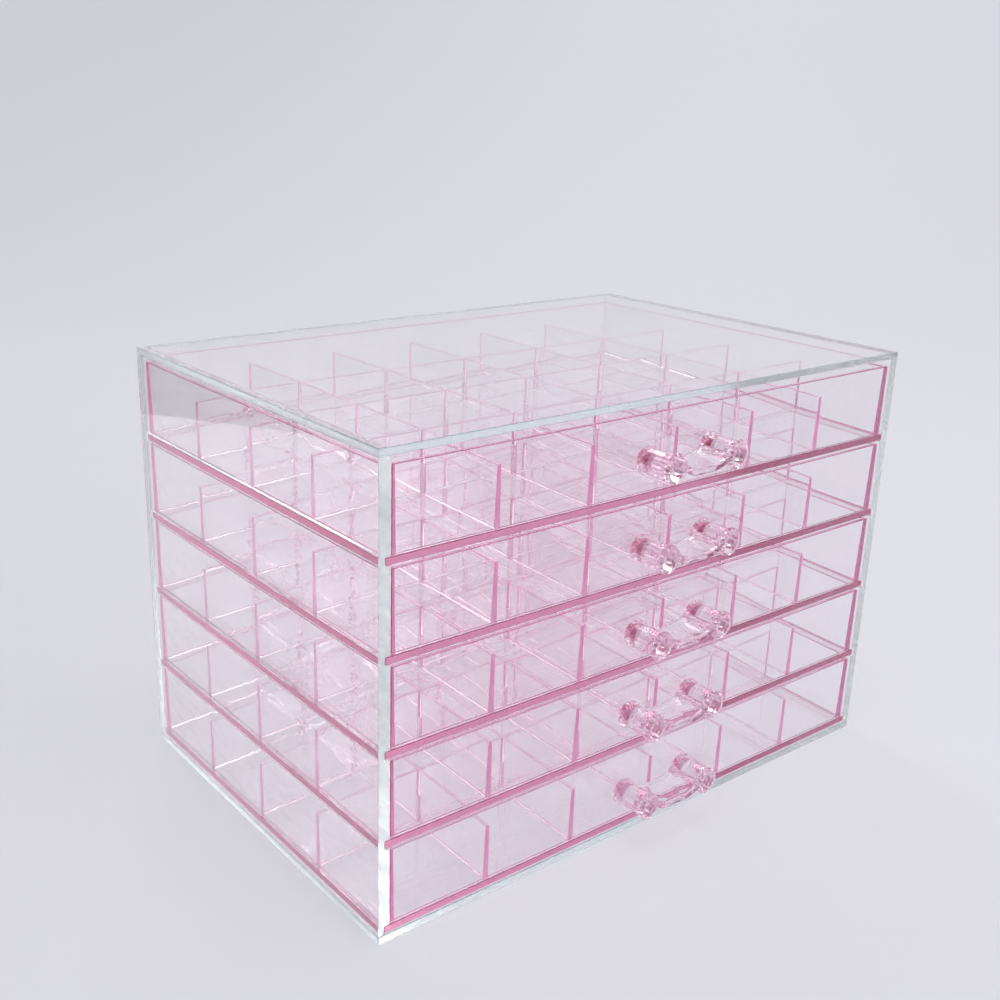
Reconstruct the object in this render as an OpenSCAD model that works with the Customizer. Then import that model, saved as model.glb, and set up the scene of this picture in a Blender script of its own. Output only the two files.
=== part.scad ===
// Charm organizer box: a clear open-fronted cabinet with a stack of pink pull-out drawers.
// Each drawer is a grid of small compartments and is pulled by two clear posts with a saddle between them.
// Millimetres, +Z up. The origin is the middle of the underside, and the drawers open towards -Y.

/* [Cabinet] */
// Width over the side panels
cabinet_w = 240; // [180:1:320]
// Depth, front edge to back
cabinet_d = 158.5; // [110:0.5:220]
// Thickness of the top panel
top_t = 2.4; // [1.6:0.1:4]
// Thickness of the bottom panel
bottom_t = 3; // [1.6:0.1:5]
// Thickness of the back panel
back_t = 2.4; // [1.6:0.1:4]
// Thickness of each side panel outside its grooves
side_skin_t = 2.4; // [1.2:0.1:4]
// Depth of the drawer grooves in the side panels
groove_depth = 2; // [1.2:0.1:4]

/* [Drawers] */
// Number of drawers
drawer_count = 5; // [1:1:5]
// Height of a drawer, underside of its base to its rim
drawer_h = 29.6; // [22:0.2:50]
// Thickness of a drawer's base
base_t = 2.4; // [1.6:0.1:4]
// Thickness of the walls where they meet the base
wall_t = 2.4; // [1.8:0.1:4]
// Thickness of the walls at the rim
wall_rim_t = 1.6; // [1:0.1:1.8]

/* [Compartments] */
// Compartments from side to side
columns = 6; // [2:1:8]
// Compartments from front to back
rows = 4; // [2:1:6]
// Thickness of the dividers where they meet the base
divider_t = 2.4; // [1.8:0.1:4]
// Thickness of the dividers along their top edges
divider_top_t = 1.4; // [0.8:0.1:1.8]
// Distance from the rim down to the top edges of the dividers
divider_drop = 6.9; // [1:0.1:12]

/* [Handles] */
// Distance between the axes of the two posts
post_spacing = 29.5; // [24:0.5:60]
// Height of the post axes above the underside of the drawer
post_height = 14.3; // [9:0.1:16]
// Length of a post, measured out from the drawer's front
post_l = 14.4; // [10:0.2:24]
// Radius of a post's collars, over the corners of the facets
collar_r = 5.1; // [4.8:0.1:6]
// Length of each collar
collar_l = 2.4; // [1.5:0.1:4]
// Chamfer along the edges of the collars
collar_chamfer = 0.6; // [0.2:0.1:0.7]
// Radius of a post between its collars, over the corners of the facets
post_r = 4.4; // [4:0.1:4.7]
// Facets around a post
facets = 16; // [14:2:24]
// Thickness of the saddle
bow_t = 2.2; // [1.2:0.1:3]
// How far the middle of the saddle dips below the post axes
bow_dip = 1.6; // [0.5:0.1:4]
// Radius of the curves by which the saddle rises to the posts
bow_bend_r = 10; // [6:0.5:14]
// Diameter of the pegs that hold the posts
peg_d = 4.4; // [3:0.1:5]
// Length of the pegs
peg_l = 4; // [2:0.1:6]

/* [Clearances] */
// Running gap under a drawer's base
seat_gap = 0.3; // [0.1:0.05:0.6]
// Running gap over a drawer's base in its groove
lift_gap = 0.4; // [0.1:0.05:1]
// Gap from the edge of a drawer's base to the bottom of its groove
edge_gap = 0.3; // [0.1:0.05:0.8]
// Gap from a drawer's walls to the side panels
wall_gap = 0.4; // [0.2:0.05:1]
// Gap from a drawer's rim to the base above it
rim_gap = 1.3; // [0.5:0.1:4]
// Gap from the top drawer's rim to the top panel
head_gap = 2.8; // [0.5:0.1:6]
// Distance of the drawer fronts behind the cabinet's front edges
front_setback = 0.5; // [0:0.1:4]
// Gap from a closed drawer to the back panel
rear_gap = 0.8; // [0.3:0.1:4]
// Gap around a peg in its post
peg_gap = 0.05; // [0.02:0.01:0.2]

/* [Hidden] */
$fn = 64;
clear_acrylic = [0.86, 0.91, 0.93, 0.4];
pink_acrylic = [0.92, 0.55, 0.72, 0.6];
crystal = [0.93, 0.90, 0.93, 0.6];
// How far a cutting shape runs past the surface that it cuts
past = 1;

side_t = side_skin_t + groove_depth;
drawer_pitch = drawer_h + rim_gap;
inner_h = seat_gap + drawer_count * drawer_pitch - rim_gap + head_gap;
cabinet_h = bottom_t + inner_h + top_t;

front_y = -cabinet_d / 2 + front_setback;
rear_y = cabinet_d / 2 - back_t - rear_gap;
base_w = cabinet_w - 2 * (side_skin_t + edge_gap);
drawer_w = cabinet_w - 2 * (side_t + wall_gap);
wall_h = drawer_h - base_t;
divider_h = wall_h - divider_drop;
lap_z = base_t + divider_h / 2;
column_pitch = (drawer_w - 2 * wall_t + divider_t) / columns;
row_pitch = (rear_y - front_y - 2 * wall_t + divider_t) / rows;

bow_l = post_l - collar_chamfer;
// The saddle's curves just touch a circle of this radius inside each post
bow_meet_r = post_r - 0.5;
bow_bend_z = bow_bend_r - bow_dip;
bow_bend_x = post_spacing / 2 - sqrt(pow(bow_bend_r + bow_meet_r, 2) - pow(bow_bend_z, 2));
bow_rise = bow_bend_z * bow_meet_r / (bow_bend_r + bow_meet_r);

CABINET_NODES = ["top_panel", "bottom_panel", "left_side_panel", "right_side_panel", "back_panel"];
DRAWER_NODES = [
    "base", "front", "back", "left_wall", "right_wall", "long_dividers", "cross_dividers",
    "handle_pegs", "handle_posts", "handle_bow"
];

// Name of one drawer's node, counted from the top drawer down
function drawer_node(n, name) = str("drawer_", n, "_", name);

// Height of the underside of drawer n
function drawer_z(n) = bottom_t + seat_gap + (drawer_count - n) * drawer_pitch;

// Places of the dividers across the drawer and along it
function column_x(i) = (i - columns / 2) * column_pitch;
function row_y(j) = (front_y + rear_y) / 2 + (j - rows / 2) * row_pitch;

// A block given by its least and greatest corners
module block(low, high) {
    translate(low) cube(high - low);
}

// Lays a section drawn in X and Z along Y, from y0 to y1
module along_y(y0, y1) {
    translate([0, y1, 0]) rotate([90, 0, 0]) linear_extrude(y1 - y0) children();
}

// Lays a section drawn in Y and Z along X, from x0 to x1
module along_x(x0, x1) {
    translate([x0, 0, 0]) rotate([90, 0, 90]) linear_extrude(x1 - x0) children();
}

// Section of a wall whose outer face stands upright at 0 and whose inner face leans back
module wall_section() {
    polygon([[0, base_t], [wall_t, base_t], [wall_rim_t, drawer_h], [0, drawer_h]]);
}

// Section of a divider that tapers evenly to its top edge
module divider_section() {
    top_z = base_t + divider_h;
    polygon([
        [-divider_t / 2, base_t], [divider_t / 2, base_t],
        [divider_top_t / 2, top_z], [-divider_top_t / 2, top_z]
    ]);
}

// Cabinet

module top_panel() {
    color(clear_acrylic)
        block([-cabinet_w / 2, -cabinet_d / 2, cabinet_h - top_t], [cabinet_w / 2, cabinet_d / 2, cabinet_h]);
}

module bottom_panel() {
    color(clear_acrylic)
        block([-cabinet_w / 2, -cabinet_d / 2, 0], [cabinet_w / 2, cabinet_d / 2, bottom_t]);
}

module back_panel() {
    half_w = cabinet_w / 2 - side_t;
    color(clear_acrylic)
        block([-half_w, cabinet_d / 2 - back_t, bottom_t], [half_w, cabinet_d / 2, cabinet_h - top_t]);
}

// Groove that drawer n's base runs in, open at the front and stopped at the back panel
module groove(n) {
    z0 = drawer_z(n) - seat_gap;
    z1 = drawer_z(n) + base_t + lift_gap;
    low = n == drawer_count ? z0 - past : z0;
    block(
        [-cabinet_w / 2 + side_skin_t, -cabinet_d / 2 - past, low],
        [-cabinet_w / 2 + side_t + past, cabinet_d / 2 - back_t, z1]
    );
}

module left_side_panel() {
    color(clear_acrylic)
        difference() {
            block(
                [-cabinet_w / 2, -cabinet_d / 2, bottom_t],
                [-cabinet_w / 2 + side_t, cabinet_d / 2, cabinet_h - top_t]
            );
            for (n = [1:drawer_count]) groove(n);
        }
}

module right_side_panel() {
    mirror([1, 0, 0]) left_side_panel();
}

// Drawer, drawn with its underside at zero

module base() {
    color(pink_acrylic) block([-base_w / 2, front_y, 0], [base_w / 2, rear_y, base_t]);
}

module front() {
    color(pink_acrylic) translate([0, front_y, 0]) along_x(-drawer_w / 2, drawer_w / 2) wall_section();
}

module back() {
    color(pink_acrylic)
        translate([0, rear_y, 0]) along_x(-drawer_w / 2, drawer_w / 2) mirror([1, 0]) wall_section();
}

module left_wall() {
    color(pink_acrylic)
        difference() {
            translate([-drawer_w / 2, 0, 0])
                along_y(front_y + wall_rim_t / 2, rear_y - wall_rim_t / 2) wall_section();
            front();
            back();
        }
}

module right_wall() {
    mirror([1, 0, 0]) left_wall();
}

module long_strips() {
    for (i = [1:columns - 1])
        translate([column_x(i), 0, 0])
            along_y(front_y + wall_rim_t / 2, rear_y - wall_rim_t / 2) divider_section();
}

module cross_strips() {
    half_l = drawer_w / 2 - wall_rim_t / 2;
    for (j = [1:rows - 1]) translate([0, row_y(j), 0]) along_x(-half_l, half_l) divider_section();
}

// Keeps what lies between two heights
module slice(z0, z1) {
    intersection() {
        children();
        block([-cabinet_w / 2, -cabinet_d / 2, z0], [cabinet_w / 2, cabinet_d / 2, z1]);
    }
}

module long_dividers() {
    color(pink_acrylic)
        difference() {
            long_strips();
            front();
            back();
            slice(lap_z, drawer_h) cross_strips();
        }
}

module cross_dividers() {
    color(pink_acrylic)
        difference() {
            cross_strips();
            left_wall();
            right_wall();
            slice(0, lap_z) long_strips();
        }
}

// Handle, drawn with its posts running out from the drawer's front

// Puts a copy at each post, with its own +Z pointing out of the drawer's front
module at_posts() {
    for (side = [-1, 1])
        translate([side * post_spacing / 2, front_y, post_height]) rotate([90, 0, 0]) children();
}

module facet_bar(r, l) {
    linear_extrude(l)
        polygon([for (i = [0:facets - 1]) let (a = 360 * (i + 0.5) / facets) [r * cos(a), r * sin(a)]]);
}

module collar() {
    inner_r = collar_r - collar_chamfer;
    intersection() {
        facet_bar(collar_r, collar_l);
        rotate_extrude()
            polygon([
                [0, 0], [inner_r, 0], [collar_r, collar_chamfer],
                [collar_r, collar_l - collar_chamfer], [inner_r, collar_l], [0, collar_l]
            ]);
    }
}

module post_blank() {
    facet_bar(post_r, post_l);
    collar();
    translate([0, 0, post_l - collar_l]) collar();
}

module handle_pegs() {
    color(pink_acrylic) at_posts() cylinder(d = peg_d, h = peg_l);
}

module handle_posts() {
    color(crystal)
        at_posts()
            difference() {
                post_blank();
                translate([0, 0, -past]) cylinder(d = peg_d + 2 * peg_gap, h = peg_l + peg_gap + past);
            }
}

// Outline of the hollow over the saddle, widened by an amount
module bow_hollow(grow) {
    hull()
        for (side = [-1, 1])
            translate([side * bow_bend_x, post_height + bow_bend_z]) circle(r = bow_bend_r + grow);
}

module bow_section() {
    low_z = post_height - bow_dip - bow_t - past;
    intersection() {
        difference() {
            bow_hollow(bow_t);
            bow_hollow(0);
        }
        translate([-post_spacing / 2, low_z]) square([post_spacing, post_height + bow_rise - low_z]);
    }
}

module handle_bow() {
    color(crystal)
        difference() {
            along_y(front_y - bow_l, front_y) bow_section();
            at_posts() post_blank();
        }
}

// One piece of a drawer, by its name
module drawer_piece(name) {
    if (name == "base") base();
    if (name == "front") front();
    if (name == "back") back();
    if (name == "left_wall") left_wall();
    if (name == "right_wall") right_wall();
    if (name == "long_dividers") long_dividers();
    if (name == "cross_dividers") cross_dividers();
    if (name == "handle_pegs") handle_pegs();
    if (name == "handle_posts") handle_posts();
    if (name == "handle_bow") handle_bow();
}

top_panel();
bottom_panel();
left_side_panel();
right_side_panel();
back_panel();
for (n = [1:drawer_count])
    for (name = DRAWER_NODES)
        translate([0, 0, drawer_z(n)]) drawer_piece(name);
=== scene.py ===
"""Charm organizer box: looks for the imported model, a clear cabinet with five pink compartment drawers."""
import bpy
import bmesh
import math
from mathutils import Matrix, Vector


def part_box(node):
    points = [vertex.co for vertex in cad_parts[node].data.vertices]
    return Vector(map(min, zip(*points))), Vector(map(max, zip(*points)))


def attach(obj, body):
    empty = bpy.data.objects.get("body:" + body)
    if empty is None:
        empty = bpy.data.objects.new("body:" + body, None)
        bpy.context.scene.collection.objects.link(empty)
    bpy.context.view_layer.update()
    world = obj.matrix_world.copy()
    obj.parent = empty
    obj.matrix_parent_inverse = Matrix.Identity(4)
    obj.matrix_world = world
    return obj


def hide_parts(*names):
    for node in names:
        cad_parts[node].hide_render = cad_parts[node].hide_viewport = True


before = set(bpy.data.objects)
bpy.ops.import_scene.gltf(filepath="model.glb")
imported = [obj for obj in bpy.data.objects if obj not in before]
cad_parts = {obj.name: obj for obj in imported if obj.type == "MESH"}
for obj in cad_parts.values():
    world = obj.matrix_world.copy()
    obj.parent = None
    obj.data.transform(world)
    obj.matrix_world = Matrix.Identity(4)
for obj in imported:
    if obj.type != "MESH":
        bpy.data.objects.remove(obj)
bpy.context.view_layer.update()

MM = 0.001
DRAWERS = 5
COLUMNS = 6
ROWS = 4

# Camera recovered from the photograph, in millimetres, degrees and pixels of a 1000 pixel frame
CAMERA_PLACE = (-298.80, -344.36, 256.14)
CAMERA_FORWARD = (0.5818, 0.7472, -0.3212)
CAMERA_ROLL = 1.3088
CAMERA_FOCAL = 1230.6
CAMERA_CENTRE = (458.03, 499.37)
FRAME_PX = 1000
SENSOR = 36
CLIP_START = 0.01
# Light passes many sheets before it leaves the box
BOUNCES = 128
TRANSPARENT_BOUNCES = 64

# Drawer sizes in millimetres, as in the solids
BASE_T = 2.4
DRAWER_H = 29.6
WALL_T = 2.4
WALL_RIM_T = 1.6
DIVIDER_T = 2.4
DIVIDER_TOP_T = 1.4
DIVIDER_H = 20.3
EDGE_R = 0.2
# Air gaps where one piece only rests on another, and the depth by which bonded pieces sink into each other
REST_GAP = 0.04
BOND = 0.03
# A face is a sawn edge where its normal has less than this along the sheet's thin direction
SAWN_LIMIT = 0.3

# Cabinet sizes in millimetres
SIDE_SKIN = 2.4
GROOVE_UNDER = 0.3
GROOVE_OVER = 0.4
GROOVE_EDGE = 0.15
# Faces at least this far inside the panel's outline belong to the grooves
GROOVE_MARGIN = 1
PANEL_EDGE = 0.3
BACK_EDGE = 0.1
# Angle in radians between two faces from which their edge is softened
SHARP_ANGLE = 0.5


def low_high(name):
    low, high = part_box(name)
    return [v / MM for v in low], [v / MM for v in high]


def finished_mesh(name, bm, material):
    bmesh.ops.recalc_face_normals(bm, faces=bm.faces[:])
    mesh = bpy.data.meshes.new(name)
    bm.to_mesh(mesh)
    bm.free()
    mesh.materials.append(material)
    return mesh


def add_piece(name, mesh, body, node, place=(0, 0, 0)):
    """A piece that moves with a body, in the place of a node."""
    piece = bpy.data.objects.new(name, mesh)
    piece.location = [v * MM for v in place]
    bpy.context.scene.collection.objects.link(piece)
    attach(piece, body)
    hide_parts(node)


def add_panel(name, bm, node):
    add_piece(name, finished_mesh(name, bm, clear), "cabinet", node)


# Materials

# Colour that each plastic lets through, and how strongly it takes up the rest, per metre
PINK_ABSORB = (0.90, 0.0, 0.57)
PINK_DENSITY = 9.2
BASE_ABSORB = (0.85, 0.0, 0.42)
BASE_DENSITY = 5.5
PEG_ABSORB = (0.99, 0.0, 0.70)
PEG_DENSITY = 30
CLEAR_ABSORB = (0.25, 0.62, 0.65)
CLEAR_DENSITY = 0.5
CRYSTAL_ABSORB = (0.8, 0.0, 0.5)
CRYSTAL_DENSITY = 9
SAWN_ROUGH = 0.3
PANEL_SAWN_ROUGH = 0.25
# Part of the waves' range over which the roughness rises
SMEAR_LOW = 0.35
SMEAR_HIGH = 0.75


def new_material(name):
    material = bpy.data.materials.new(name)
    material.use_nodes = True
    tree = material.node_tree
    return material, tree, tree.nodes["Principled BSDF"]


def acrylic(name, absorb, density, wave_mm, wave_depth_mm, rough, edge_rough=0, wave_stretch=1, ior=1.49):
    """Clear plastic with slightly wavy faces. Light is taken up along its way inside. The sawn edges, where
    the edge attribute is 1, are less polished."""
    material, tree, shader = new_material(name)
    shader.inputs["Base Color"].default_value = (1, 1, 1, 1)
    shader.inputs["IOR"].default_value = ior
    shader.inputs["Transmission Weight"].default_value = 1
    coords = tree.nodes.new("ShaderNodeTexCoord")
    waves = tree.nodes.new("ShaderNodeTexNoise")
    waves.inputs["Scale"].default_value = 1 / (wave_mm * MM)
    waves.inputs["Detail"].default_value = 1
    stretch = tree.nodes.new("ShaderNodeMapping")
    stretch.inputs["Scale"].default_value = (1 / wave_stretch, 1 / wave_stretch, 1)
    tree.links.new(coords.outputs["Object"], stretch.inputs["Vector"])
    tree.links.new(stretch.outputs["Vector"], waves.inputs["Vector"])
    bump = tree.nodes.new("ShaderNodeBump")
    bump.inputs["Strength"].default_value = 1
    bump.inputs["Distance"].default_value = wave_depth_mm * MM
    tree.links.new(waves.outputs["Fac"], bump.inputs["Height"])
    tree.links.new(bump.outputs["Normal"], shader.inputs["Normal"])
    smear = tree.nodes.new("ShaderNodeMapRange")
    smear.inputs["From Min"].default_value = SMEAR_LOW
    smear.inputs["From Max"].default_value = SMEAR_HIGH
    smear.inputs["To Min"].default_value = 0
    smear.inputs["To Max"].default_value = rough
    tree.links.new(waves.outputs["Fac"], smear.inputs["Value"])
    sawn = tree.nodes.new("ShaderNodeAttribute")
    sawn.attribute_name = "edge"
    finish = tree.nodes.new("ShaderNodeMath")
    finish.operation = "MULTIPLY_ADD"
    finish.inputs[1].default_value = edge_rough
    tree.links.new(sawn.outputs["Fac"], finish.inputs[0])
    tree.links.new(smear.outputs["Result"], finish.inputs[2])
    tree.links.new(finish.outputs["Value"], shader.inputs["Roughness"])
    volume = tree.nodes.new("ShaderNodeVolumeAbsorption")
    volume.inputs["Color"].default_value = (*absorb, 1)
    volume.inputs["Density"].default_value = density
    tree.links.new(volume.outputs["Volume"], tree.nodes["Material Output"].inputs["Volume"])
    return material


pink = acrylic("pink_acrylic_sheet", PINK_ABSORB, PINK_DENSITY, wave_mm=30, wave_depth_mm=0.003,
               rough=0.006, edge_rough=SAWN_ROUGH)
base_pink = acrylic("pink_acrylic_base", BASE_ABSORB, BASE_DENSITY, wave_mm=30, wave_depth_mm=0.003,
                    rough=0.006, edge_rough=SAWN_ROUGH)
wavy_pink = acrylic("pink_acrylic_wavy", PINK_ABSORB, PINK_DENSITY, wave_mm=4, wave_depth_mm=0.09,
                    rough=0.008, edge_rough=SAWN_ROUGH, wave_stretch=3)
dense_pink = acrylic("pink_acrylic_peg", PEG_ABSORB, PEG_DENSITY, wave_mm=6, wave_depth_mm=0.02, rough=0.02)
clear = acrylic("clear_acrylic_sheet", CLEAR_ABSORB, CLEAR_DENSITY, wave_mm=60, wave_depth_mm=0.004,
                rough=0.004, edge_rough=PANEL_SAWN_ROUGH)
crystal = acrylic("crystal_plastic_cut", CRYSTAL_ABSORB, CRYSTAL_DENSITY, wave_mm=9, wave_depth_mm=0.01,
                  rough=0.006, ior=1.59)


# Plates


def edged_box(low, high, edge, cuts=2):
    """A sheet with softened edges."""
    bm = bmesh.new()
    bmesh.ops.create_cube(bm, size=1)
    for v in bm.verts:
        v.co = Vector([MM * (low[k] if v.co[k] < 0 else high[k]) for k in range(3)])
    made = bmesh.ops.bevel(bm, geom=bm.edges[:], offset=edge * MM, segments=cuts, affect="EDGES", profile=0.5)
    for face in made["faces"]:
        face.smooth = True
    size = [high[k] - low[k] for k in range(3)]
    mark_edges(bm, size.index(min(size)))
    return bm


def join_rings(bm, one, two, smooth=False):
    count = len(one)
    for k in range(count):
        bm.faces.new((one[k], one[(k + 1) % count], two[(k + 1) % count], two[k])).smooth = smooth


def mark_edges(bm, thin, polished=None):
    """The faces across the sheet's thin direction are sawn edges, unless they are polished."""
    bm.normal_update()
    sawn = bm.faces.layers.float.new("edge")
    for face in bm.faces:
        is_edge = abs(face.normal[thin]) < SAWN_LIMIT
        face[sawn] = float(is_edge and not (polished and polished(face)))


# Drawer trays

base_low, base_high = low_high("drawer_5_base")
wall_low, wall_high = low_high("drawer_5_front")
LEFT, RIGHT = wall_low[0], wall_high[0]
FRONT, BACK = base_low[1], base_high[1]
COLUMN = (RIGHT - LEFT - 2 * WALL_T + DIVIDER_T) / COLUMNS
ROW = (BACK - FRONT - 2 * WALL_T + DIVIDER_T) / ROWS
COLUMN_PLACES = [(i - COLUMNS / 2) * COLUMN for i in range(1, COLUMNS)]
ROW_PLACES = [(FRONT + BACK) / 2 + (j - ROWS / 2) * ROW for j in range(1, ROWS)]
FOOT_Z = BASE_T + REST_GAP
DIVIDER_TOP_Z = BASE_T + DIVIDER_H
LAP_Z = BASE_T + DIVIDER_H / 2


def wall_inset(z):
    return WALL_T + (WALL_RIM_T - WALL_T) * (z - BASE_T) / (DRAWER_H - BASE_T)


def half_divider(z):
    return (DIVIDER_T + (DIVIDER_TOP_T - DIVIDER_T) * (z - BASE_T) / DIVIDER_H) / 2


def sheet(bm, outline, near, far, along_x):
    """A plate with an outline in length and height. Its faces lie at near(z) and far(z) from the middle."""
    sides = []
    for offset in (near, far):
        places = [(l, offset(z), z) if along_x else (offset(z), l, z) for l, z in outline]
        sides.append([bm.verts.new(Vector(p) * MM) for p in places])
    for side in sides:
        bm.faces.new(side)
    join_rings(bm, *sides)


def soften(bm, keep_sharp, thin, edge=EDGE_R, polished=None):
    """Rounds the edges whose middle isn't at a bonded end, and marks the sawn edges of the sheet."""
    bmesh.ops.recalc_face_normals(bm, faces=bm.faces[:])
    edges = [e for e in bm.edges if not keep_sharp((e.verts[0].co + e.verts[1].co) / (2 * MM))]
    made = bmesh.ops.bevel(bm, geom=edges, offset=edge * MM, segments=2, affect="EDGES", profile=0.5)
    for face in made["faces"]:
        face.smooth = True
    mark_edges(bm, thin, polished)


def cross_wall(name, outer, inward):
    """The front or the back wall: upright outside, leaning inside."""
    bm = bmesh.new()
    outline = [(LEFT, FOOT_Z), (RIGHT, FOOT_Z), (RIGHT, DRAWER_H), (LEFT, DRAWER_H)]
    sheet(bm, outline, lambda z: outer, lambda z: outer + inward * wall_inset(z), True)
    soften(bm, lambda middle: False, 1)
    return finished_mesh(name, bm, pink)


def side_wall(name, outer, inward):
    """A wall between the front and the back, whose ends follow their lean."""
    bm = bmesh.new()
    outline = []
    for z in (FOOT_Z, DRAWER_H):
        reach = wall_inset(z) - BOND
        ends = [(FRONT + reach, z), (BACK - reach, z)]
        outline += ends if z == FOOT_Z else ends[::-1]
    sheet(bm, outline, lambda z: outer, lambda z: outer + inward * wall_inset(z), False)

    def at_end(middle):
        return middle.y < FRONT + WALL_T or middle.y > BACK - WALL_T

    soften(bm, at_end, 0, polished=lambda face: face.normal.z < -0.5)
    return finished_mesh(name, bm, wavy_pink)


def strip_outline(low, high, notches, open_above):
    """Outline of a divider whose ends follow the walls' lean, notched from its upper or its lower edge."""
    foot_reach, top_reach = wall_inset(FOOT_Z) - BOND, wall_inset(DIVIDER_TOP_Z) - BOND
    foot = [(low + foot_reach, FOOT_Z)]
    top = [(low + top_reach, DIVIDER_TOP_Z)]
    for place in notches:
        edge_z = DIVIDER_TOP_Z if open_above else FOOT_Z
        deep_z = LAP_Z - REST_GAP if open_above else LAP_Z + REST_GAP
        at_edge, deep = half_divider(edge_z) + REST_GAP, half_divider(deep_z) + REST_GAP
        notch = [(place - at_edge, edge_z), (place - deep, deep_z)]
        notch += [(place + deep, deep_z), (place + at_edge, edge_z)]
        if open_above:
            top += notch
        else:
            foot += notch
    foot.append((high - foot_reach, FOOT_Z))
    top.append((high - top_reach, DIVIDER_TOP_Z))
    return foot + top[::-1]


def strips(name, places, low, high, notches, along_x):
    bm = bmesh.new()
    outline = strip_outline(low, high, notches, not along_x)
    for place in places:
        sheet(bm, outline, lambda z: place - half_divider(z), lambda z: place + half_divider(z), along_x)

    def at_end(middle):
        along = middle.x if along_x else middle.y
        return along < low + WALL_T or along > high - WALL_T

    soften(bm, at_end, 1 if along_x else 0, EDGE_R / 2)
    return finished_mesh(name, bm, pink)


tray_meshes = {
    ("base_plate", "base"): finished_mesh(
        "base_plate", edged_box((base_low[0], FRONT, 0), (base_high[0], BACK, BASE_T), EDGE_R), base_pink),
    ("front_wall", "front"): cross_wall("front_wall", FRONT, 1),
    ("back_wall", "back"): cross_wall("back_wall", BACK, -1),
    ("left_side", "left_wall"): side_wall("left_side", LEFT, 1),
    ("right_side", "right_wall"): side_wall("right_side", RIGHT, -1),
    ("long_strips", "long_dividers"): strips("long_strips", COLUMN_PLACES, FRONT, BACK, ROW_PLACES, False),
    ("cross_strips", "cross_dividers"): strips("cross_strips", ROW_PLACES, LEFT, RIGHT, COLUMN_PLACES, True),
}
for n in range(1, DRAWERS + 1):
    height = low_high(f"drawer_{n}_base")[0][2]
    for (piece_name, node), mesh in tray_meshes.items():
        add_piece(f"drawer_{n}_{piece_name}", mesh, f"drawer_{n}", f"drawer_{n}_{node}",
                  (0, 0, height))


# Cabinet panels


def side_panel(name, piece_name, mirrored):
    """A side panel with its grooves: one comb-shaped section that ends in a plain strip at the back."""
    low, high = low_high(name)
    z_low, z_high = low[2] - BOND, high[2] + BOND
    outer, inner = (high[0], low[0]) if mirrored else (low[0], high[0])
    skin = outer + (SIDE_SKIN if inner > outer else -SIDE_SKIN)
    front, back = low[1], high[1]
    stop = low_high("back_panel")[0][1]
    heights = [z_low]
    for n in range(DRAWERS, 0, -1):
        base_low, base_high = low_high(f"drawer_{n}_base")
        if n < DRAWERS:
            heights.append(base_low[2] - GROOVE_UNDER)
        heights.append(base_high[2] + GROOVE_OVER)
    heights.append(z_high)
    bm = bmesh.new()
    made = {}

    def point(x, y, z):
        key = (round(x, 4), round(y, 4), round(z, 4))
        if key not in made:
            made[key] = bm.verts.new(Vector(key) * MM)
        return made[key]

    def face(*places):
        bm.faces.new([point(*p) for p in places])

    spans = list(zip(heights[:-1], heights[1:]))
    for k, (z0, z1) in enumerate(spans):
        face((inner, stop, z0), (inner, back, z0), (inner, back, z1), (inner, stop, z1))
        if k % 2:
            face((inner, front, z0), (inner, stop, z0), (inner, stop, z1), (inner, front, z1))
            continue
        face((skin, front, z0), (skin, stop, z0), (skin, stop, z1), (skin, front, z1))
        face((skin, stop, z0), (inner, stop, z0), (inner, stop, z1), (skin, stop, z1))
        if k:
            face((skin, front, z0), (inner, front, z0), (inner, stop, z0), (skin, stop, z0))
        face((skin, front, z1), (inner, front, z1), (inner, stop, z1), (skin, stop, z1))
    outline = [(outer, front, z_low)]
    for k, (z0, z1) in enumerate(spans):
        x = inner if k % 2 else skin
        outline += [(x, front, z0), (x, front, z1)]
    outline.append((outer, front, z_high))
    face(*outline)
    face((outer, front, z_low), (skin, front, z_low), (skin, stop, z_low), (inner, stop, z_low),
         (inner, back, z_low), (outer, back, z_low))
    face((outer, front, z_high), (inner, front, z_high), (inner, stop, z_high), (inner, back, z_high),
         (outer, back, z_high))
    face((outer, front, z_low), (outer, back, z_low), (outer, back, z_high), (outer, front, z_high))
    face((outer, back, z_low), *[(inner, back, z) for z in heights], (outer, back, z_high))
    bmesh.ops.recalc_face_normals(bm, faces=bm.faces[:])
    sharp = [e for e in bm.edges if len(e.link_faces) == 2 and e.calc_face_angle() > SHARP_ANGLE]
    bmesh.ops.bevel(bm, geom=sharp, offset=GROOVE_EDGE * MM, segments=1, affect="EDGES")

    def in_groove(face):
        middle = face.calc_center_median() / MM
        inside_z = z_low + GROOVE_MARGIN < middle.z < z_high - GROOVE_MARGIN
        return inside_z and front + GROOVE_MARGIN < middle.y < back - GROOVE_MARGIN

    mark_edges(bm, 0, in_groove)
    add_panel(piece_name, bm, name)


side_panel("left_side_panel", "cabinet_left_side", False)
side_panel("right_side_panel", "cabinet_right_side", True)
for name, piece_name in (("top_panel", "cabinet_top"), ("bottom_panel", "cabinet_floor")):
    add_panel(piece_name, edged_box(*low_high(name), PANEL_EDGE), name)
back_low, back_high = low_high("back_panel")
back_low = [back_low[0] - BOND, back_low[1], back_low[2] - BOND]
back_high = [back_high[0] + BOND, back_high[1], back_high[2] + BOND]
add_panel("cabinet_back", edged_box(back_low, back_high, BACK_EDGE, 1), "back_panel")


# Handles

COLLAR_TEETH = 16
POST_SPACING = 29.5
POST_HEIGHT = 14.3
PEG_R = 2.2
PEG_L = 4
# Distance of a peg's sections out from the drawer's front, and their radius
PEG_PROFILE = [(REST_GAP, PEG_R), (PEG_L - 0.4, PEG_R), (PEG_L - 0.1, PEG_R - 0.15), (PEG_L, PEG_R - 0.5)]
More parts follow.
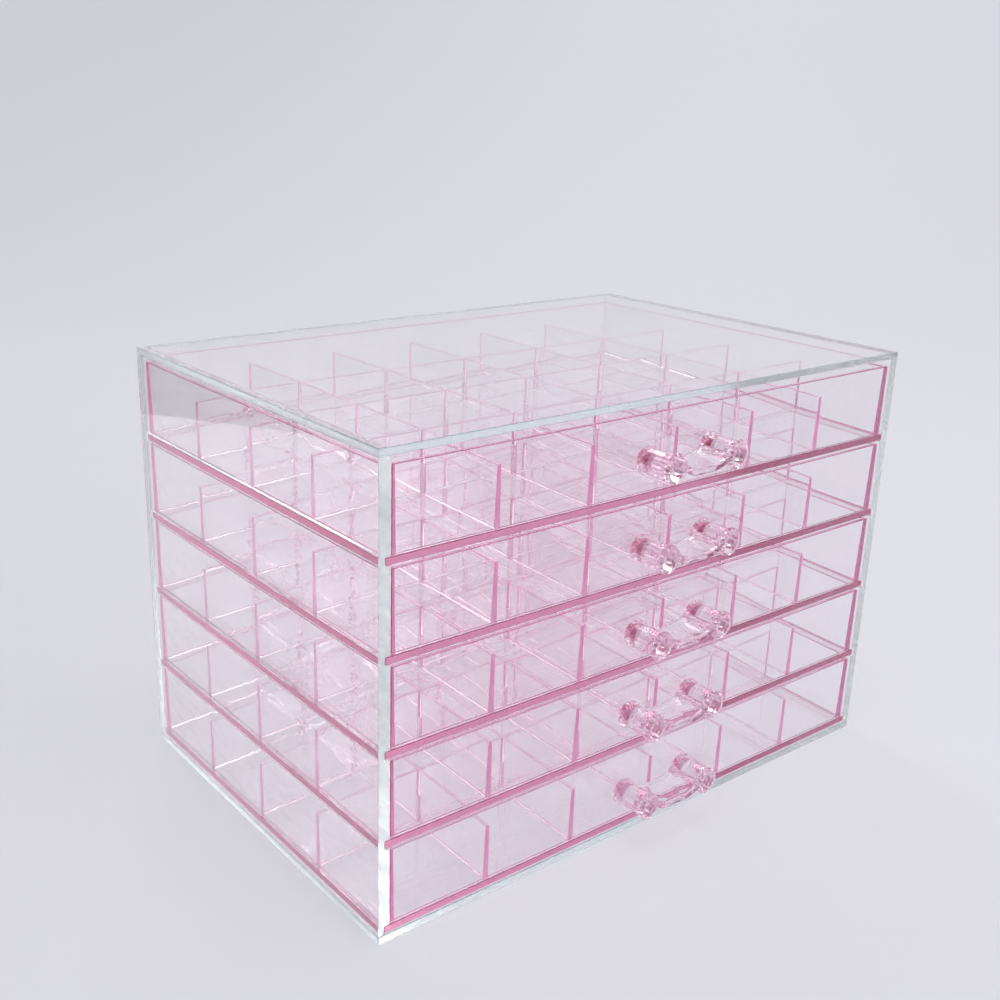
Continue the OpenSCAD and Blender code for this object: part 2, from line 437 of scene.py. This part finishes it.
# Distance of the posts' and the saddle's roots from the drawer's front
ROOT_GAP = 0.05
BOW_L = 13.8
BOW_T = 2.2
BOW_DIP = 1.6
BOW_BEND_R = 10
BOW_MEET_R = 3.9
# Stations along the saddle: distance out, the radius at which its ends sink into the posts, and the rounding
BOW_STATIONS = [(ROOT_GAP, 4.5, 0), (2.35, 4.5, 0), (2.5, 4.22, 0), (11.9, 4.22, 0), (12.05, 4.5, 0),
                (BOW_L - 0.35, 4.4, 0), (BOW_L - 0.1, 4.3, 0.1), (BOW_L, 4.25, 0.35)]
BOW_STEPS = 10
# Distance out from the drawer's front, radius over the teeth, depth of the notches between them, and 1 where
# the teeth are one step on. The facets of a collar run zigzag between such sections.
POST_PROFILE = [(ROOT_GAP, 4.5, 0.15, 1), (0.6, 5.1, 0.6, 0), (1.7, 5.1, 0.6, 1), (2.35, 4.45, 0.15, 0),
                (2.5, 4.4, 0.085, 1), (11.9, 4.4, 0.085, 1), (12.05, 4.45, 0.15, 0), (12.7, 5.1, 0.6, 1),
                (13.6, 5.1, 0.6, 0), (14.4, 4.0, 0.15, 1)]
BORE = [(PEG_L - BOND, PEG_R - BOND), (ROOT_GAP, PEG_R - BOND)]


def post_ring(bm, x, front, z, out, r, notch=0, first=0):
    count = 2 * COLLAR_TEETH
    verts = []
    for k in range(count):
        a = 2 * math.pi * k / count
        here = r - notch * ((k + first) % 2)
        place = (x + here * math.cos(a), front - out, z + here * math.sin(a))
        verts.append(bm.verts.new(Vector(place) * MM))
    return verts


def join_teeth(bm, one, two, first):
    """Triangles between two rings whose teeth are one step apart, folded from tooth to tooth."""
    count = len(one)
    for k in range(count):
        a, b, c, d = one[k], one[(k + 1) % count], two[(k + 1) % count], two[k]
        folds = ((a, b, c), (a, c, d)) if (k + first) % 2 == 0 else ((a, b, d), (b, c, d))
        for fold in folds:
            bm.faces.new(fold)


def add_handle_piece(n, piece_name, bm, material, node):
    name = f"drawer_{n}_{piece_name}"
    add_piece(name, finished_mesh(name, bm, material), f"drawer_{n}", f"drawer_{n}_{node}")


def post_pair(n, front, z):
    bm = bmesh.new()
    for x in (-POST_SPACING / 2, POST_SPACING / 2):
        rings = [post_ring(bm, x, front, z, *level) for level in POST_PROFILE]
        for k in range(len(rings) - 1):
            first, after = POST_PROFILE[k][3], POST_PROFILE[k + 1][3]
            if first == after:
                join_rings(bm, rings[k], rings[k + 1])
            else:
                join_teeth(bm, rings[k], rings[k + 1], first)
        bm.faces.new(rings[-1])
        bore = [post_ring(bm, x, front, z, out, r) for out, r in BORE]
        bm.faces.new(bore[0])
        join_rings(bm, bore[0], bore[1], True)
        join_rings(bm, bore[1], rings[0])
    add_handle_piece(n, "post_pair", bm, crystal, "handle_posts")


def peg_pair(n, front, z):
    bm = bmesh.new()
    for x in (-POST_SPACING / 2, POST_SPACING / 2):
        rings = [post_ring(bm, x, front, z, out, r) for out, r in PEG_PROFILE]
        for k in range(len(rings) - 1):
            join_rings(bm, rings[k], rings[k + 1], True)
        bm.faces.new(rings[0])
        bm.faces.new(rings[-1])
    add_handle_piece(n, "peg_pair", bm, dense_pink, "handle_pegs")


def saddle(n, front, z):
    """The curved plate between the posts: flat in the middle, with two bends that rise to the posts. Its ends
    follow the posts' surface and sink a little into it."""
    half = POST_SPACING / 2
    bend_z = BOW_BEND_R - BOW_DIP
    apart = BOW_BEND_R + BOW_MEET_R
    bend_x = half - math.sqrt(apart * apart - bend_z * bend_z)
    toward_post = math.atan2(half - bend_x, bend_z)

    def last_angle(r, reach):
        return toward_post - math.acos((r * r + apart * apart - reach * reach) / (2 * r * apart))

    def half_line(r, reach):
        end = last_angle(r, reach)
        turns = [end * k / BOW_STEPS for k in range(BOW_STEPS + 1)]
        return [(bend_x + r * math.sin(a), bend_z - r * math.cos(a)) for a in turns]

    def end_line(inner, outer, reach):
        radii = [inner + (outer - inner) * k / 4 for k in (1, 2, 3)]
        return [half_line(r, reach)[-1] for r in radii]

    bm = bmesh.new()
    rings = []
    for out, reach, rounding in BOW_STATIONS:
        inner, outer = BOW_BEND_R + rounding, BOW_BEND_R + BOW_T - rounding
        right_half = half_line(inner, reach) + end_line(inner, outer, reach) + half_line(outer, reach)[::-1]
        outline = right_half + [(-x, up) for x, up in right_half[::-1]]
        rings.append([bm.verts.new(Vector((x, front - out, z + up)) * MM) for x, up in outline])
    for one, two in zip(rings[:-1], rings[1:]):
        join_rings(bm, one, two, True)
    bm.faces.new(rings[0])
    bm.faces.new(rings[-1])
    add_handle_piece(n, "saddle", bm, crystal, "handle_bow")


for n in range(1, DRAWERS + 1):
    axis_z = low_high(f"drawer_{n}_base")[0][2] + POST_HEIGHT
    post_pair(n, FRONT, axis_z)
    peg_pair(n, FRONT, axis_z)
    saddle(n, FRONT, axis_z)


# Floor and backdrop

# The floor sheet in metres. It runs from the front to its bend and then up, and is wider towards the back.
FLOOR_GAP = 0.0001
SWEEP_FRONT = -2.5
SWEEP_BEND = 0.9
SWEEP_R = 0.8
SWEEP_TOP = 2.5
SWEEP_STEPS = 16
SWEEP_RIGHT = 3
SWEEP_LEFT = -0.34
SWEEP_WIDENS = 0.36
# Turn of the sheet towards the camera, in degrees
SWEEP_TURN = -37.9
PAPER_COLOUR = (0.71, 0.71, 0.76, 1)
PAPER_GLOW_COLOUR = (1, 1, 1.08, 1)
PAPER_ROUGH = 0.9
# Share of the background that only camera, glossy and transmission rays see
PAPER_GLOW = 0.65
# Direction across the view, from left to right, along which the background's glow has painted light: darker
# at the left, lighter at the right
ACROSS = (0.789, -0.614, 0)


def stage_mesh():
    bm = bmesh.new()
    line = [(SWEEP_FRONT, -FLOOR_GAP), (SWEEP_BEND, -FLOOR_GAP)]
    for k in range(1, SWEEP_STEPS + 1):
        a = math.radians(90 * k / SWEEP_STEPS)
        line.append((SWEEP_BEND + SWEEP_R * math.sin(a), SWEEP_R * (1 - math.cos(a)) - FLOOR_GAP))
    line.append((SWEEP_BEND + SWEEP_R, SWEEP_TOP))
    turn = Matrix.Rotation(math.radians(SWEEP_TURN), 3, "Z")
    rows = []
    for along, up in line:
        left = SWEEP_LEFT - SWEEP_WIDENS * max(along, 0)
        ends = [Vector((across, along, up)) for across in (left, SWEEP_RIGHT)]
        rows.append([bm.verts.new(turn @ end) for end in ends])
    for one, two in zip(rows[:-1], rows[1:]):
        bm.faces.new((one[0], one[1], two[1], two[0])).smooth = True
    mesh = bpy.data.meshes.new("sweep")
    bm.to_mesh(mesh)
    bm.free()
    obj = bpy.data.objects.new("sweep", mesh)
    bpy.context.scene.collection.objects.link(obj)
    mesh.materials.append(paper())


def paper():
    """Pale paper that shows a glowing background with painted light on it, darker at the left, lighter at the
    right and a little lighter higher up the sheet, and part of the light and shade that falls on it.
    """
    material, tree, shader = new_material("pale_paper")
    shader.inputs["Base Color"].default_value = PAPER_COLOUR
    shader.inputs["Roughness"].default_value = PAPER_ROUGH
    coords = tree.nodes.new("ShaderNodeTexCoord")

    def fade(direction, start, end, low, high):
        """A number that runs from low to high along a direction of the stage."""
        along = tree.nodes.new("ShaderNodeVectorMath")
        along.operation = "DOT_PRODUCT"
        along.inputs[1].default_value = direction
        tree.links.new(coords.outputs["Object"], along.inputs[0])
        ramp = tree.nodes.new("ShaderNodeMapRange")
        ramp.interpolation_type = "SMOOTHSTEP"
        ramp.inputs["From Min"].default_value = start
        ramp.inputs["From Max"].default_value = end
        ramp.inputs["To Min"].default_value = low
        ramp.inputs["To Max"].default_value = high
        tree.links.new(along.outputs["Value"], ramp.inputs["Value"])
        return ramp.outputs["Result"]

    # Painted light: the glow runs from darker at the left to lighter at the right, in place of light from the
    # right, and grows a little lighter higher up the sheet
    across = fade(ACROSS, start=-0.5, end=0.5, low=0.68, high=0.80)
    painted_light_higher = fade((0, 0, 1), start=0.30, end=0.75, low=1, high=1.1)
    level = tree.nodes.new("ShaderNodeMath")
    level.operation = "MULTIPLY"
    tree.links.new(across, level.inputs[0])
    tree.links.new(painted_light_higher, level.inputs[1])
    glow = tree.nodes.new("ShaderNodeEmission")
    glow.inputs["Color"].default_value = PAPER_GLOW_COLOUR
    tree.links.new(level.outputs["Value"], glow.inputs["Strength"])
    rays = tree.nodes.new("ShaderNodeLightPath")
    seen = tree.nodes.new("ShaderNodeMath")
    seen.operation = "ADD"
    seen.use_clamp = True
    tree.links.new(rays.outputs["Is Camera Ray"], seen.inputs[0])
    tree.links.new(rays.outputs["Is Glossy Ray"], seen.inputs[1])
    more = tree.nodes.new("ShaderNodeMath")
    more.operation = "ADD"
    more.use_clamp = True
    tree.links.new(seen.outputs["Value"], more.inputs[0])
    tree.links.new(rays.outputs["Is Transmission Ray"], more.inputs[1])
    share = tree.nodes.new("ShaderNodeMath")
    share.operation = "MULTIPLY"
    share.inputs[1].default_value = PAPER_GLOW
    tree.links.new(more.outputs["Value"], share.inputs[0])
    mix = tree.nodes.new("ShaderNodeMixShader")
    tree.links.new(share.outputs["Value"], mix.inputs["Fac"])
    tree.links.new(shader.outputs["BSDF"], mix.inputs[1])
    tree.links.new(glow.outputs["Emission"], mix.inputs[2])
    tree.links.new(mix.outputs["Shader"], tree.nodes["Material Output"].inputs["Surface"])
    return material


stage_mesh()


# Light

ROOM_COLOUR = (1, 1, 1.03, 1)
ROOM_LEVEL = 1.03
# Level of the room where the camera looks past the floor sheet
ROOM_SHOWN = 0.72
# Direction, angles in degrees where the change starts and is full, and its level there
ROOM_SIDES = [
    ((-0.58, -0.75, 0.32), 24, 12, 0.15),
    ((-1, 0, 0.45), 24, 12, 0.15),
    ((-0.2, -1, 0.1), 20, 10, 0.2),
    ((0, 0, 1), 50, 34, 0.2),
    ((-0.60, 0.79, -0.05), 48, 28, 0.12),
    ((0.58, -0.75, 0.32), 40, 15, 1.5),
]
# Name, place, point it faces, size in metres and radiance
SOFTBOXES = [
    ("ceiling", (-0.1, -0.15, 1.3), (0, 0, 0.1), (0.7, 0.5), 4.5),
    ("skylight", (0.25, 1.0, 1.0), (0, 0, 0.1), (0.55, 0.35), 8.0),
    ("window", (0.42, -1.15, 0.62), (0, 0, 0.05), (0.75, 0.45), 2.2),
]


def world_light():
    """A pale room that is darker behind the camera, above and beyond the sheet's left end, and lighter at the
    right of the front."""
    world = bpy.data.worlds.new("soft_room")
    bpy.context.scene.world = world
    world.use_nodes = True
    tree = world.node_tree
    tree.nodes["Background"].inputs["Color"].default_value = ROOM_COLOUR
    coords = tree.nodes.new("ShaderNodeTexCoord")
    level = None
    for direction, wide, narrow, side_level in ROOM_SIDES:
        toward = tree.nodes.new("ShaderNodeVectorMath")
        toward.operation = "DOT_PRODUCT"
        toward.inputs[1].default_value = Vector(direction).normalized()
        tree.links.new(coords.outputs["Generated"], toward.inputs[0])
        ramp = tree.nodes.new("ShaderNodeMapRange")
        ramp.interpolation_type = "SMOOTHSTEP"
        ramp.inputs["From Min"].default_value = math.cos(math.radians(wide))
        ramp.inputs["From Max"].default_value = math.cos(math.radians(narrow))
        ramp.inputs["To Min"].default_value = 1
        ramp.inputs["To Max"].default_value = side_level
        tree.links.new(toward.outputs["Value"], ramp.inputs["Value"])
        product = tree.nodes.new("ShaderNodeMath")
        product.operation = "MULTIPLY"
        product.inputs[1].default_value = ROOM_LEVEL
        if level:
            tree.links.new(level, product.inputs[1])
        tree.links.new(ramp.outputs["Result"], product.inputs[0])
        level = product.outputs["Value"]
    rays = tree.nodes.new("ShaderNodeLightPath")
    shown = tree.nodes.new("ShaderNodeMix")
    shown.inputs["B"].default_value = ROOM_SHOWN
    tree.links.new(rays.outputs["Is Camera Ray"], shown.inputs["Factor"])
    tree.links.new(level, shown.inputs["A"])
    tree.links.new(shown.outputs["Result"], tree.nodes["Background"].inputs["Strength"])


def softbox(name, place, aim, size, radiance):
    light = bpy.data.lights.new(name, "AREA")
    light.shape = "RECTANGLE"
    light.size, light.size_y = size
    light.energy = radiance * math.pi * size[0] * size[1]
    obj = bpy.data.objects.new(name, light)
    obj.location = place
    obj.rotation_euler = (Vector(aim) - Vector(place)).to_track_quat("-Z", "Y").to_euler()
    bpy.context.scene.collection.objects.link(obj)


world_light()
for row in SOFTBOXES:
    softbox(*row)


# Camera

forward = Vector(CAMERA_FORWARD).normalized()
side = forward.cross(Vector((0, 0, 1))).normalized()
up = side.cross(forward)
roll = math.radians(CAMERA_ROLL)
right_axis = math.cos(roll) * side + math.sin(roll) * up
up_axis = -math.sin(roll) * side + math.cos(roll) * up
camera = bpy.data.objects.new("camera", bpy.data.cameras.new("camera"))
camera.matrix_world = Matrix((
    (right_axis.x, up_axis.x, -forward.x, CAMERA_PLACE[0] * MM),
    (right_axis.y, up_axis.y, -forward.y, CAMERA_PLACE[1] * MM),
    (right_axis.z, up_axis.z, -forward.z, CAMERA_PLACE[2] * MM),
    (0, 0, 0, 1),
))
camera.data.sensor_width = SENSOR
camera.data.lens = CAMERA_FOCAL * SENSOR / FRAME_PX
camera.data.shift_x = 0.5 - CAMERA_CENTRE[0] / FRAME_PX
camera.data.shift_y = CAMERA_CENTRE[1] / FRAME_PX - 0.5
camera.data.clip_start = CLIP_START
bpy.context.scene.collection.objects.link(camera)

scene = bpy.context.scene
scene.camera = camera
scene.view_settings.view_transform = "Standard"
scene.cycles.max_bounces = BOUNCES
scene.cycles.transmission_bounces = BOUNCES
scene.cycles.glossy_bounces = BOUNCES
scene.cycles.transparent_max_bounces = TRANSPARENT_BOUNCES
scene.cycles.blur_glossy = 0
